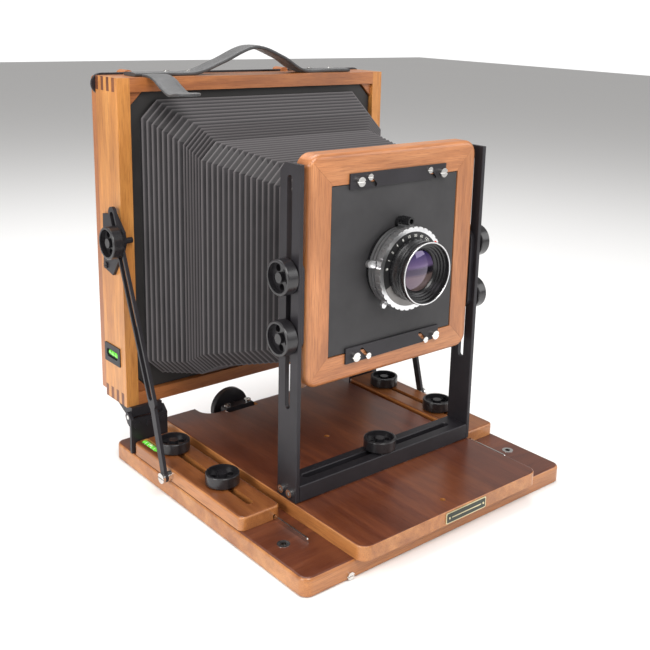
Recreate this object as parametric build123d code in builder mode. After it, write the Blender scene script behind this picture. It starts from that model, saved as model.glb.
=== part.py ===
from build123d import *
import math
import os

# Folding wooden field camera for large sheet film. Millimetres.
# +X runs from left to right as seen from the lens side, -Y is the way the lens looks, +Z is up.
# The origin is the mouth of the tripod socket, in the middle of the base board's underside.

os.makedirs("parts", exist_ok=True)

# ---- driving dimensions -----------------------------------------------------------------------
gap = 0.1               # air between flat faces that slide on each other
run = 0.05              # radial clearance of a shaft in its bore

base_w = 301.0
base_d = 294.0
base_t = 16.0
base_edge = 3.0

block_in = 110.5        # rail blocks, distance of the inner and outer face from the middle
block_out = 149.5
block_front = -63.0
block_back = 112.0
block_top = 28.0

board_w = 206.0
board_front = -156.5    # its front edge stands proud of the base
board_back = 141.5
board_t = 12.4
board_z = base_t + gap
board_top = board_z + board_t

screw_x = -27.0         # focusing lead screw, off the middle line
screw_z = 21.2
screw_r = 3.0
wheel_r = 20.4
wheel_y = 136.0
bearing_y = 124.0
bearing_w = 33.0
bearing_t = 10.0
bearing_top = 30.0
bearing_screw_span = 24.0
bearing_screw_r = 1.8
bearing_screw_end = 8.0

lens_z = 215.3
panel_w = 186.0
panel_low = 124.0
panel_high = 313.0
panel_front = -70.5
panel_back = -53.0
lens_board_size = 140.0
lens_board_z = 217.2
lens_board_t = 3.5
upright_out = 103.0
upright_t = 4.0
upright_front = -73.0
upright_back = -48.0
upright_top = 307.0
standard_y = -60.0      # bolts of the front standard
tilt_z = 219.0
rise_z = 169.5
bolt_r = 3.0
bar_low = board_top + 1.1
bar_high = 43.5

knob_r = 14.5
knob_t = 10.0

frame_w = 302.0
frame_front = 120.0
frame_back = 160.0
frame_low = 59.0
frame_high = 358.0
frame_wall = 12.0
hinge_y = 118.5
hinge_z = 50.0
strut_pivot_y = 45.0
strut_pivot_z = 21.5
strut_bolt_y = 116.5
strut_bolt_z = 217.5
strut_kink_y = 62.5
strut_kink_z = 84.0
strut_x = 154.2
strut_t = 3.0


def save(builder, name):
    """Labels a finished piece and writes its STEP."""
    builder.part.label = name
    export_step(builder.part, f"parts/{name}.step")


def side_plane(side, distance, y=0.0, z=0.0):
    """A plane on the left (side -1) or right (side 1), with local x along Y and local y along Z."""
    return Plane(origin=(side * distance, y, z), x_dir=(0, 1, 0), z_dir=(1, 0, 0))


def outward_plane(side, distance, y, z):
    """A plane whose normal points away from the camera, on the left (side -1) or right (side 1)."""
    return Plane(origin=(side * distance, y, z), z_dir=(side, 0, 0))


def front_plane(y, x=0.0, z=0.0):
    """A plane facing the lens side, with its local x along X and local y along Z."""
    return Plane(origin=(x, y, z), x_dir=(1, 0, 0), z_dir=(0, -1, 0))


# ---- base board -------------------------------------------------------------------------------
insert_x = 133.0
insert_y = -97.0
stud_x = 129.0
stud_y = (-5.0, 75.0)
bush_r = 9.0
socket_r = 4.76
socket_depth = 12.0
guide_x = 117.0
guide_y = -1.5
guide_l = 212.0

with BuildPart() as base_board:
    with BuildSketch():
        RectangleRounded(base_w, base_d, 8)
    extrude(amount=base_t)
    fillet(base_board.faces().sort_by(Axis.Z)[-1].edges(), radius=base_edge)
    chamfer(base_board.faces().sort_by(Axis.Z)[0].edges(), length=1)
    with BuildSketch(Plane.XY.offset(base_t)):
        with Locations((screw_x, base_d / 2)):
            Rectangle(50, 35)
    extrude(amount=-base_t, mode=Mode.SUBTRACT)
    with BuildSketch(Plane.XY):
        Circle(bush_r)
    extrude(amount=socket_depth, mode=Mode.SUBTRACT)
    with BuildSketch(Plane.XY.offset(base_t)):
        with Locations((-insert_x, insert_y), (insert_x, insert_y)):
            Circle(5.2)
    extrude(amount=-6, mode=Mode.SUBTRACT)
    with BuildSketch(Plane.XY.offset(base_t)):
        for x in (-stud_x, stud_x):
            with Locations(*[(x, y) for y in stud_y]):
                Circle(bolt_r)
    extrude(amount=-10, mode=Mode.SUBTRACT)
    with BuildSketch(Plane.XY.offset(base_t)):
        with Locations((-guide_x, guide_y), (guide_x, guide_y)):
            Rectangle(1.2, guide_l)
    extrude(amount=-3, mode=Mode.SUBTRACT)
    with BuildSketch(Plane.XY.offset(base_t)):
        with Locations(*[(screw_x + side * bearing_screw_span / 2, bearing_y) for side in (-1, 1)]):
            Circle(bearing_screw_r)
    extrude(amount=bearing_screw_end - base_t, mode=Mode.SUBTRACT)
    with BuildSketch(front_plane(-base_d / 2, -107, 3.4)):
        Circle(3.2)
    extrude(amount=-2, mode=Mode.SUBTRACT)
save(base_board, "base_board")

with BuildPart() as tripod_bushing:
    with BuildSketch():
        Circle(bush_r)
        Circle(socket_r, mode=Mode.SUBTRACT)
    extrude(amount=socket_depth)
    with BuildSketch(Plane.XY.offset(socket_depth - 1)):
        Circle(socket_r)
    extrude(amount=1)
save(tripod_bushing, "tripod_bushing")

with BuildPart() as guide_strips:
    for x in (-guide_x, guide_x):
        with BuildSketch(Plane(origin=(x - 0.6, guide_y, base_t - 3), x_dir=(0, 1, 0), z_dir=(1, 0, 0))):
            with Locations((0, 3.5)):
                RectangleRounded(guide_l, 7, 2.4)
        extrude(amount=1.2)
save(guide_strips, "guide_strips")

with BuildPart() as base_fasteners:
    for x in (-insert_x, insert_x):
        with BuildSketch(Plane.XY.offset(base_t - 6)):
            with Locations((x, insert_y)):
                Circle(5.2)
                RegularPolygon(2.6, 6, mode=Mode.SUBTRACT)
        extrude(amount=6.3)
    with BuildSketch(front_plane(-base_d / 2 + 2, -107, 3.4)):
        Circle(3.2)
    extrude(amount=3.6)
    with BuildSketch(front_plane(-base_d / 2 - 1.6, -107, 3.4)):
        Rectangle(7, 0.9)
    extrude(amount=-1, mode=Mode.SUBTRACT)
    for side in (-1, 1):
        with BuildSketch(Plane.XY.offset(bearing_screw_end)):
            with Locations((screw_x + side * bearing_screw_span / 2, bearing_y)):
                Circle(bearing_screw_r)
        extrude(amount=bearing_top - bearing_screw_end)
        with BuildSketch(Plane.XY.offset(bearing_top)):
            with Locations((screw_x + side * bearing_screw_span / 2, bearing_y)):
                Circle(3.4)
        extrude(amount=2)
        with BuildSketch(Plane.XY.offset(bearing_top + 2)):
            with Locations((screw_x + side * bearing_screw_span / 2, bearing_y)):
                RegularPolygon(1.5, 6)
        extrude(amount=-1.4, mode=Mode.SUBTRACT)
save(base_fasteners, "base_fasteners")

with BuildPart() as screw_bearing:
    with BuildSketch(front_plane(bearing_y - bearing_t / 2, screw_x, 0)):
        with Locations((0, (bearing_top + base_t) / 2)):
            RectangleRounded(bearing_w, bearing_top - base_t, 2)
    extrude(amount=-bearing_t)
    with BuildSketch(front_plane(bearing_y - bearing_t / 2, screw_x, screw_z)):
        Circle(screw_r + run)
    extrude(amount=-bearing_t, mode=Mode.SUBTRACT)
    with BuildSketch(Plane.XY.offset(bearing_top)):
        with Locations(*[(screw_x + s * bearing_screw_span / 2, bearing_y) for s in (-1, 1)]):
            Circle(bearing_screw_r)
    extrude(amount=base_t - bearing_top, mode=Mode.SUBTRACT)
save(screw_bearing, "screw_bearing")

stud_top = block_top + 1.0 + 8.0
with BuildPart() as rail_studs:
    for x in (-stud_x, stud_x):
        for y in stud_y:
            with BuildSketch(Plane.XY.offset(base_t - 10)):
                with Locations((x, y)):
                    Circle(bolt_r)
            extrude(amount=stud_top - base_t + 10)
            with BuildSketch(Plane.XY.offset(block_top + gap)):
                with Locations((x, y)):
                    Circle(6.5)
            extrude(amount=0.7)
save(rail_studs, "rail_studs")

# ---- focusing drive ---------------------------------------------------------------------------
with BuildPart() as focus_wheel:
    with BuildSketch(front_plane(wheel_y, screw_x, screw_z)):
        Circle(wheel_r)
    extrude(amount=-7)
    fillet(focus_wheel.edges().filter_by(GeomType.CIRCLE), radius=1)
    with BuildSketch(front_plane(wheel_y, screw_x, screw_z)):
        Circle(7)
    extrude(amount=4)
    with BuildSketch(front_plane(wheel_y + 7, screw_x, screw_z)):
        Circle(wheel_r - 3)
        Circle(7, mode=Mode.SUBTRACT)
    extrude(amount=1.2, mode=Mode.SUBTRACT)
    with BuildSketch(front_plane(wheel_y - 4, screw_x, screw_z)):
        Circle(screw_r)
    extrude(amount=-9, mode=Mode.SUBTRACT)
save(focus_wheel, "focus_wheel")

screw_front = -20.0
screw_back = wheel_y + 5
with BuildPart() as lead_screw:
    with BuildSketch(front_plane(screw_front, screw_x, screw_z)):
        Circle(screw_r)
    extrude(amount=-(screw_back - screw_front))
    with BuildSketch(front_plane(bearing_y - bearing_t / 2 - gap, screw_x, screw_z)):
        Circle(screw_r + 1.2)
    extrude(amount=1.5)
save(lead_screw, "lead_screw")

# ---- focusing board ---------------------------------------------------------------------------
board_front_r = 9.0
board_rear_r = 4.0
notch_half = 66.0
notch_y = 120.5
notch_r = 14.0
spare_holes = ((-1.5, -140.5), (-1.5, 12.0))
spare_r = 2.5
groove_w = 11.0
groove_depth = 9.4
nut_y = 52.0

with BuildPart() as focusing_board:
    with BuildSketch(Plane.XY.offset(board_z)) as outline:
        with Locations((0, (board_front + board_back) / 2)):
            Rectangle(board_w, board_back - board_front)
        fillet(outline.vertices().group_by(Axis.Y)[0], radius=board_front_r)
        fillet(outline.vertices().group_by(Axis.Y)[-1], radius=board_rear_r)
        with Locations((0, board_back + 10)):
            Rectangle(2 * notch_half, 2 * (board_back + 10 - notch_y), mode=Mode.SUBTRACT)
        fillet(outline.vertices().filter_by_position(Axis.Y, notch_y - 1, notch_y + 1), radius=notch_r)
    extrude(amount=board_t)
    fillet(focusing_board.faces().sort_by(Axis.Z)[-1].edges(), radius=1.5)
    with BuildSketch(Plane.XY.offset(board_top)):
        with Locations((screw_x, notch_y)):
            Rectangle(bearing_w + 2, 16)
    extrude(amount=-board_t, mode=Mode.SUBTRACT)
    with BuildSketch(Plane.XY.offset(board_z)):
        with Locations((screw_x, 50)):
            Rectangle(groove_w, 142)
    extrude(amount=groove_depth, mode=Mode.SUBTRACT)
    with BuildSketch(Plane.XY.offset(board_z)):
        with Locations(*spare_holes):
            Circle(spare_r)
        with Locations((0, standard_y)):
            Circle(bolt_r)
    extrude(amount=board_t, mode=Mode.SUBTRACT)
save(focusing_board, "focusing_board")

with BuildPart() as lead_nut:
    with BuildSketch(front_plane(nut_y, screw_x, board_z + groove_depth / 2)):
        Rectangle(groove_w, groove_depth)
    extrude(amount=-18)
    with BuildSketch(front_plane(nut_y, screw_x, screw_z)):
        Circle(screw_r + run)
    extrude(amount=-18, mode=Mode.SUBTRACT)
save(lead_nut, "lead_nut")

standard_stud_top = bar_high + 1.0 + 8.0
with BuildPart() as standard_stud:
    with BuildSketch(Plane.XY.offset(board_z)):
        with Locations((0, standard_y)):
            Circle(bolt_r)
    extrude(amount=standard_stud_top - board_z)
    with BuildSketch(Plane.XY.offset(bar_high + gap)):
        with Locations((0, standard_y)):
            Circle(8)
    extrude(amount=0.7)
save(standard_stud, "standard_stud")

# ---- front standard ---------------------------------------------------------------------------
with BuildPart() as swing_plate:
    with BuildSketch(Plane.XY.offset(board_top + gap)):
        with Locations((6, standard_y)):
            RectangleRounded(168, 22, 5)
        with Locations((0, standard_y)):
            Circle(bolt_r + run, mode=Mode.SUBTRACT)
    extrude(amount=0.9)
save(swing_plate, "swing_plate")

bar_half = upright_out - upright_t
slot_w = 6.4
with BuildPart() as crossbar:
    with BuildSketch(Plane.XY.offset(bar_low)):
        with Locations((0, (upright_front + upright_back) / 2)):
            Rectangle(2 * bar_half, upright_back - upright_front)
        with Locations((0, standard_y)):
            SlotOverall(172, slot_w, mode=Mode.SUBTRACT)
    extrude(amount=bar_high - bar_low)
    chamfer(crossbar.edges().filter_by(Axis.X).group_by(Axis.Z)[-1], length=0.6)
    for side in (-1, 1):
        for y in (-71 + 5.5, -54.5):
            with BuildSketch(side_plane(side, bar_half, y, 36)):
                Circle(2)
            extrude(amount=-side * 9, mode=Mode.SUBTRACT)
save(crossbar, "crossbar")

upright_low = bar_low
upright_slot_low = 108.0
upright_slot_high = 298.0
for side, name in ((-1, "left_upright"), (1, "right_upright")):
    with BuildPart() as upright:
        with BuildSketch(side_plane(side, bar_half)):
            with BuildLine():
                Polyline(
                    (upright_front, upright_low),
                    (upright_back, upright_low),
                    (upright_back, upright_top - 6),
                    (upright_back - 6, upright_top),
                    (upright_front, upright_top),
                    close=True,
                )
            make_face()
            with Locations((standard_y, (upright_slot_low + upright_slot_high) / 2)):
                SlotOverall(upright_slot_high - upright_slot_low, slot_w, rotation=90, mode=Mode.SUBTRACT)
            with Locations((-65.5, 36), (-54.5, 36)):
                Circle(2, mode=Mode.SUBTRACT)
        extrude(amount=side * upright_t)
        chamfer(upright.edges().filter_by(Axis.Z).filter_by_position(Axis.Y, -74, -72), length=0.5)
    save(upright, name)

with BuildPart() as foot_screws:
    for side in (-1, 1):
        for y in (-65.5, -54.5):
            with BuildSketch(side_plane(side, bar_half - 9, y, 36)):
                Circle(2)
            extrude(amount=side * (9 + upright_t))
            with BuildSketch(side_plane(side, upright_out, y, 36)):
                Circle(3.5)
            extrude(amount=side * 2)
            with BuildSketch(side_plane(side, upright_out + 2, y, 36)):
                RegularPolygon(1.6, 6)
            extrude(amount=-side * 1.3, mode=Mode.SUBTRACT)
save(foot_screws, "foot_screws")

plate_in = 94.4
plate_out = bar_half - gap
bolt_out = upright_out + 9.0
with BuildPart() as carriage_plates:
    for side in (-1, 1):
        with BuildSketch(side_plane(side, plate_in, standard_y, (tilt_z + rise_z) / 2)):
            RectangleRounded(18, 72, 8)
            with Locations((0, (tilt_z - rise_z) / 2)):
                Circle(bolt_r + run, mode=Mode.SUBTRACT)
        extrude(amount=side * (plate_out - plate_in))
        with BuildSketch(side_plane(side, plate_in, standard_y, rise_z)):
            Circle(bolt_r)
        extrude(amount=side * (bolt_out - plate_in))
        for z in (tilt_z, rise_z):
            with BuildSketch(side_plane(side, upright_out + gap, standard_y, z)):
                Circle(7)
                Circle(bolt_r + run, mode=Mode.SUBTRACT)
            extrude(amount=side * 0.7)
save(carriage_plates, "carriage_plates")

# ---- lens panel -------------------------------------------------------------------------------
panel_mid = (panel_low + panel_high) / 2
panel_t = panel_back - panel_front
rebate = lens_board_size + 1.0
rebate_depth = 4.0
throat = 128.0
panel_half = panel_w / 2

with BuildPart() as panel_blank:
    with BuildSketch(front_plane(panel_back, 0, panel_mid)):
        RectangleRounded(panel_w, panel_high - panel_low, 12)
    extrude(amount=panel_t)
    fillet(panel_blank.faces().sort_by(Axis.Y)[0].edges(), radius=4)
    fillet(panel_blank.faces().sort_by(Axis.Y)[-1].edges(), radius=2)
    with BuildSketch(front_plane(panel_front, 0, lens_board_z)):
        Rectangle(rebate, rebate)
    extrude(amount=-rebate_depth, mode=Mode.SUBTRACT)
    with BuildSketch(front_plane(panel_front, 0, lens_board_z)):
        Rectangle(throat, throat)
    extrude(amount=-panel_t, mode=Mode.SUBTRACT)
    for side in (-1, 1):
        with BuildSketch(side_plane(side, panel_half, standard_y, tilt_z)):
            Circle(bolt_r)
        extrude(amount=-side * 12, mode=Mode.SUBTRACT)

mitre_gap = 0.12
with BuildPart() as lens_panel:
    add(panel_blank.part)
    with BuildSketch(front_plane(panel_back + 1, 0, panel_mid)):
        Rectangle(2 * panel_w, mitre_gap, rotation=45)
        Rectangle(2 * panel_w, mitre_gap, rotation=-45)
    extrude(amount=panel_t + 2, mode=Mode.SUBTRACT)
save(lens_panel, "lens_panel")

with BuildPart() as tilt_bolts:
    for side in (-1, 1):
        with BuildSketch(side_plane(side, panel_half - 12, standard_y, tilt_z)):
            Circle(bolt_r)
        extrude(amount=side * (bolt_out - panel_half + 12))
save(tilt_bolts, "tilt_bolts")

board_face = panel_front + 0.5
board_hole_r = 21.0
with BuildPart() as lens_board:
    with BuildSketch(front_plane(board_face, 0, lens_board_z)):
        Rectangle(lens_board_size, lens_board_size)
        with Locations((0, lens_z - lens_board_z)):
            Circle(board_hole_r, mode=Mode.SUBTRACT)
    extrude(amount=-lens_board_t)
    chamfer(lens_board.faces().sort_by(Axis.Y)[0].edges().filter_by(GeomType.LINE), length=0.4)
save(lens_board, "lens_board")

# The two sliders hold the lens board in its rebate. Each moves along its diagonal slots.
slider_t = 1.5
slider_y = panel_front - gap
slot_half = 4.6
diagonal = math.sqrt(0.5)
top_slots = ((-33.0, 292.0), (34.0, 291.8))
bottom_slots = ((-29.0, 141.0), (38.0, 141.0))


def slider(name, low, high, right_low, guides, towards, studs):
    """A slider plate with two diagonal slots, whose guide screws stand at the slots' ends."""
    with BuildPart() as plate:
        with BuildSketch(front_plane(slider_y)):
            with BuildLine():
                Polyline((-53, low), (54, right_low), (54, high), (-53, high), close=True)
            make_face()
            for x, z in guides:
                with Locations((x + towards * slot_half * diagonal, z - towards * slot_half * diagonal)):
                    SlotCenterToCenter(2 * slot_half, 3.4, rotation=-45, mode=Mode.SUBTRACT)
        extrude(amount=slider_t)
        for x, z in studs:
            with BuildSketch(front_plane(slider_y - slider_t, x, z)):
                Circle(3.9)
            extrude(amount=3.2)
            with BuildSketch(front_plane(slider_y - slider_t - 3.2, x, z)):
                Rectangle(8, 1)
            extrude(amount=-1, mode=Mode.SUBTRACT)
    save(plate, name)


slider("top_slider", 283.4, 296.0, 284.4, top_slots, 1, ((-43.6, 289.3), (49.0, 288.6)))
slider("bottom_slider", 138.0, 151.6, 139.4, bottom_slots, -1, ((-43.3, 143.3), (48.8, 143.5)))

with BuildPart() as slider_screws:
    for x, z in top_slots + bottom_slots:
        with BuildSketch(front_plane(panel_front, x, z)):
            Circle(1.5)
        extrude(amount=slider_t + 0.3)
        with BuildSketch(front_plane(slider_y - slider_t - gap, x, z)):
            Circle(2.7)
        extrude(amount=1.6)
        with BuildSketch(front_plane(slider_y - slider_t - gap - 1.6, x, z)):
            Rectangle(6, 0.7)
        extrude(amount=-0.7, mode=Mode.SUBTRACT)
save(slider_screws, "slider_screws")

# ---- lens and shutter -------------------------------------------------------------------------
shutter_r = 32.0
shutter_back = board_face - gap
shutter_front = -85.0
boss_r = 24.2
socket_x = 3.0
with BuildPart() as shutter_body:
    with BuildSketch(front_plane(shutter_back, 0, lens_z)):
        Circle(shutter_r)
    extrude(amount=shutter_back - shutter_front)
    with BuildSketch(front_plane(shutter_front, 0, lens_z)):
        Circle(boss_r)
    extrude(amount=6)
    with BuildSketch(front_plane(shutter_back, 0, lens_z)):
        Circle(board_hole_r - 0.4)
    extrude(amount=-10)
    with BuildSketch(front_plane(shutter_back + 10, 0, lens_z)):
        Circle(17)
    extrude(amount=40, mode=Mode.SUBTRACT)
    with BuildSketch(front_plane(-74.4, socket_x, lens_z + 35.5)):
        Circle(5.2)
    extrude(amount=-3.4)
    with BuildSketch(front_plane(-74.4, socket_x, lens_z + 38.2)):
        Circle(3.6)
    extrude(amount=10.4)
    with BuildSketch(front_plane(-84.8, socket_x, lens_z + 38.2)):
        Circle(2.2)
    extrude(amount=-5, mode=Mode.SUBTRACT)
save(shutter_body, "shutter_body")

ring_r = 35.3
scallops = 36
with BuildPart() as speed_ring:
    with BuildSketch(front_plane(shutter_front - gap, 0, lens_z)):
        Circle(ring_r)
        Circle(boss_r + run, mode=Mode.SUBTRACT)
        with PolarLocations(ring_r + 0.9, scallops):
            Circle(1.7, mode=Mode.SUBTRACT)
    extrude(amount=5.2)
save(speed_ring, "speed_ring")

lever_rings = {
    "cocking_lever": (-84.4, 168, 12.0, 6.0),
    "aperture_lever": (-80.9, 236, 7.0, 5.0),
    "release_lever": (-77.4, 32, 7.0, 6.0),
}
for name, (ring_y, angle, reach, width) in lever_rings.items():
    with BuildPart() as lever:
        with BuildSketch(front_plane(ring_y + 2.8, 0, lens_z)):
            Circle(shutter_r + 1.4)
            with BuildSketch(mode=Mode.PRIVATE) as tab:
                Rectangle(shutter_r + reach, width, align=(Align.MIN, Align.CENTER))
                fillet(tab.vertices().group_by(Axis.X)[-1], radius=width / 2 - 0.1)
            add(tab.sketch, rotation=angle)
            Circle(shutter_r + run, mode=Mode.SUBTRACT)
        extrude(amount=2.8)
        fillet(lever.edges().filter_by(Axis.Y), radius=0.4)
    save(lever, name)

barrel_back = -91.2
barrel_front = -109.0
barrel_r = 27.7
filter_r = 24.5
filter_depth = 3.5
with BuildPart() as front_barrel:
    with BuildSketch(side_plane(1, 0, 0, lens_z)):
        with BuildLine():
            Polyline(
                (barrel_back + 6, 0),
                (barrel_back + 6, 16.9),
                (barrel_back, 16.9),
                (barrel_back, 22.0),
                (barrel_back - 5.5, 22.4),
                (barrel_back - 8, 24.0),
                (barrel_front + 4, barrel_r),
                (barrel_front, barrel_r),
                (barrel_front, filter_r),
                (barrel_front + filter_depth, filter_r),
                (barrel_front + filter_depth, filter_r - 1.2),
                (barrel_front + 9, 17.4),
                (barrel_front + 10.5, 17.0),
                (barrel_front + 10.5, 0),
                close=True,
            )
        make_face()
    revolve(axis=Axis((0, 0, lens_z), (0, 1, 0)))
save(front_barrel, "front_barrel")

with BuildPart() as rear_barrel:
    with BuildSketch(front_plane(board_face + lens_board_t + gap, 0, lens_z)):
        Circle(25)
        Circle(board_hole_r - 0.35, mode=Mode.SUBTRACT)
    extrude(amount=-(shutter_back + 10 - board_face - lens_board_t))
    with BuildSketch(front_plane(shutter_back + 10 + gap, 0, lens_z)):
        Circle(22)
    extrude(amount=-16)
save(rear_barrel, "rear_barrel")

glass_r = 16.8
with BuildPart() as lens_glass:
    with BuildSketch(front_plane(barrel_front + 10.4, 0, lens_z)):
        Circle(glass_r)
    extrude(amount=2.4)
    with BuildSketch(front_plane(shutter_back + 26 + 2 * gap, 0, lens_z)):
        Circle(glass_r)
    extrude(amount=-2.4)
save(lens_glass, "lens_glass")

# ---- rear carriage ----------------------------------------------------------------------------
slot_front = -48.0
slot_back = 84.0
level_x = 140.5
level_y = 95.5
pin_r = 2.0
for side, name in ((-1, "left_block"), (1, "right_block")):
    mid = side * (block_in + block_out) / 2
    with BuildPart() as block:
        with BuildSketch(Plane.XY.offset(base_t + gap)):
            with Locations((mid, (block_front + block_back) / 2)):
                RectangleRounded(block_out - block_in, block_back - block_front, 5)
        extrude(amount=block_top - base_t - gap)
        fillet(block.faces().sort_by(Axis.Z)[-1].edges(), radius=2.5)
        with BuildSketch(Plane.XY.offset(block_top)):
            with Locations((side * stud_x, (slot_front + slot_back) / 2)):
                SlotOverall(slot_back - slot_front, slot_w, rotation=90)
        extrude(amount=-block_top, mode=Mode.SUBTRACT)
        with BuildSketch(Plane.XY.offset(base_t)):
            with Locations((side * guide_x, 25)):
                Rectangle(2.4, 240)
        extrude(amount=4.6, mode=Mode.SUBTRACT)
        with BuildSketch(side_plane(side, block_out, strut_pivot_y, strut_pivot_z)):
            Circle(2.5)
        extrude(amount=-side * 12, mode=Mode.SUBTRACT)
        if side < 0:
            with BuildSketch(Plane.XY.offset(block_top)):
                with Locations((-level_x, level_y)):
                    SlotOverall(31, 8, rotation=90)
            extrude(amount=-7.8, mode=Mode.SUBTRACT)
    save(block, name)

with BuildPart() as block_level:
    level_origin = (-level_x, level_y - 14.6, block_top - 3.6)
    with BuildSketch(Plane(origin=level_origin, x_dir=(1, 0, 0), z_dir=(0, 1, 0))):
        Circle(3.7)
    extrude(amount=29.2)
    fillet(block_level.edges().filter_by(GeomType.CIRCLE), radius=3)
save(block_level, "block_level")

leaf_in = 114.0
leaf_out = 151.5
ear_t = 3.0
with BuildPart() as hinge_plates:
    for side in (-1, 1):
        mid = side * (leaf_in + leaf_out) / 2
        with BuildSketch(front_plane(block_back + gap, mid, 0)):
            with Locations((0, 32.6)):
                Rectangle(leaf_out - leaf_in, 32.8)
        extrude(amount=-3)
        for x in (leaf_in, leaf_out - ear_t):
            with BuildSketch(side_plane(side, x)):
                with BuildLine():
                    Polyline(
                        (block_back + gap, 40), (hinge_y + 1, 44), (hinge_y + 4.4, hinge_z),
                        (hinge_y + 3, hinge_z + 4), (hinge_y, hinge_z + 4.8), (block_back + gap, 49),
                        close=True,
                    )
                make_face()
                with Locations((hinge_y, hinge_z)):
                    Circle(pin_r, mode=Mode.SUBTRACT)
            extrude(amount=side * ear_t)
        for x in (-12.5, 0, 14.5):
            with BuildSketch(front_plane(block_back + gap, mid - side * x, 42.8)):
                Circle(3.4)
            extrude(amount=1.2)
save(hinge_plates, "hinge_plates")

with BuildPart() as hinge_pins:
    for side in (-1, 1):
        with BuildSketch(side_plane(side, leaf_in, hinge_y, hinge_z)):
            Circle(pin_r)
        extrude(amount=side * (leaf_out - leaf_in))
save(hinge_pins, "hinge_pins")

spacer_out = strut_x - gap
with BuildPart() as strut_pivots:
    for side in (-1, 1):
        with BuildSketch(side_plane(side, block_out - 12, strut_pivot_y, strut_pivot_z)):
            Circle(2.5)
        extrude(amount=side * (strut_x + strut_t + gap - block_out + 12))
        with BuildSketch(side_plane(side, block_out, strut_pivot_y, strut_pivot_z)):
            Circle(4.4)
        extrude(amount=side * (spacer_out - block_out))
        with BuildSketch(side_plane(side, strut_x + strut_t + gap, strut_pivot_y, strut_pivot_z)):
            Circle(4.8)
        extrude(amount=side * 2.4)
        with BuildSketch(side_plane(side, strut_x + strut_t + gap + 2.4, strut_pivot_y, strut_pivot_z)):
            Rectangle(10, 1.1)
        extrude(amount=-side * 1, mode=Mode.SUBTRACT)
save(strut_pivots, "strut_pivots")

upper_angle = math.degrees(math.atan2(strut_bolt_z - strut_kink_z, strut_bolt_y - strut_kink_y))
lower_angle = math.degrees(math.atan2(strut_kink_z - strut_pivot_z, strut_kink_y - strut_pivot_y))
upper_length = 170.0
lower_length = math.hypot(strut_kink_z - strut_pivot_z, strut_kink_y - strut_pivot_y)
upper_w = 11.0
lower_w = 7.0
for side, name in ((-1, "left_strut"), (1, "right_strut")):
    with BuildPart() as strut:
        with BuildSketch(side_plane(side, strut_x)):
            with Locations(Location((strut_kink_y, strut_kink_z, 0), (0, 0, upper_angle))):
                Rectangle(upper_length, upper_w, align=(Align.MIN, Align.CENTER))
                with Locations((0, 0)):
                    Circle(upper_w / 2)
                with Locations((upper_length, 0)):
                    Circle(upper_w / 2)
            with Locations(Location((strut_pivot_y, strut_pivot_z, 0), (0, 0, lower_angle))):
                Rectangle(lower_length, lower_w, align=(Align.MIN, Align.CENTER))
                Circle(4.6)
                Circle(2.5 + run, mode=Mode.SUBTRACT)
            with Locations(Location((strut_kink_y, strut_kink_z, 0), (0, 0, upper_angle))):
                with Locations((upper_length / 2 + 2, 0)):
                    SlotOverall(upper_length - 2, 6.6, mode=Mode.SUBTRACT)
        extrude(amount=side * strut_t)
    save(strut, name)

# ---- rear frame -------------------------------------------------------------------------------
fingers = 8
finger = (frame_back - frame_front) / fingers
frame_half = frame_w / 2
corner_cut = 13.0

with BuildPart() as frame_sides:
    for side in (-1, 1):
        with BuildSketch(side_plane(side, frame_half - frame_wall)):
            with Locations(((frame_front + frame_back) / 2, (frame_low + frame_high) / 2)):
                Rectangle(frame_back - frame_front, frame_high - frame_low)
            for n in range(1, fingers, 2):
                for z in (frame_low, frame_high - frame_wall):
                    with Locations((frame_front + n * finger, z)):
                        Rectangle(finger, frame_wall, align=(Align.MIN, Align.MIN), mode=Mode.SUBTRACT)
        extrude(amount=side * frame_wall)
    with BuildSketch(side_plane(-1, frame_half, 144, 104.2)):
        RectangleRounded(29, 18, 1)
    extrude(amount=2, mode=Mode.SUBTRACT)
save(frame_sides, "frame_sides")

with BuildPart() as frame_rails:
    for z, up in ((frame_low, 1), (frame_high, -1)):
        with BuildSketch(Plane.XY.offset(z)):
            with Locations((0, (frame_front + frame_back) / 2)):
                Rectangle(frame_w, frame_back - frame_front)
            for n in range(0, fingers, 2):
                for side in (-1, 1):
                    with Locations((side * (frame_half - frame_wall / 2), frame_front + (n + 0.5) * finger)):
                        Rectangle(frame_wall, finger, mode=Mode.SUBTRACT)
        extrude(amount=up * frame_wall)
        inner_z = z + up * frame_wall
        inner_x = frame_half - frame_wall
        for side in (-1, 1):
            with BuildSketch(front_plane(frame_front + 3)):
                with BuildLine():
                    Polyline(
                        (side * inner_x, inner_z),
                        (side * (inner_x - corner_cut), inner_z),
                        (side * inner_x, inner_z + up * corner_cut),
                        close=True,
                    )
                make_face()
            extrude(amount=-(frame_back - frame_front - 3))
save(frame_rails, "frame_rails")

with BuildPart() as hinge_leaves:
    for side in (-1, 1):
        with BuildSketch(side_plane(side, leaf_in + ear_t + 0.2)):
            with BuildLine():
                Polyline(
                    (hinge_y - 2.2, frame_low),
                    (hinge_y - 2.2, hinge_z),
                    (hinge_y, hinge_z - 4.4),
                    (hinge_y + 6, hinge_z - 2),
                    (hinge_y + 23, frame_low - 3),
                    (hinge_y + 24, frame_low),
                    close=True,
                )
            make_face()
            with Locations((hinge_y, hinge_z)):
                Circle(pin_r + run, mode=Mode.SUBTRACT)
        extrude(amount=side * (leaf_out - leaf_in - 2 * ear_t - 0.4))
save(hinge_leaves, "hinge_leaves")

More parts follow.
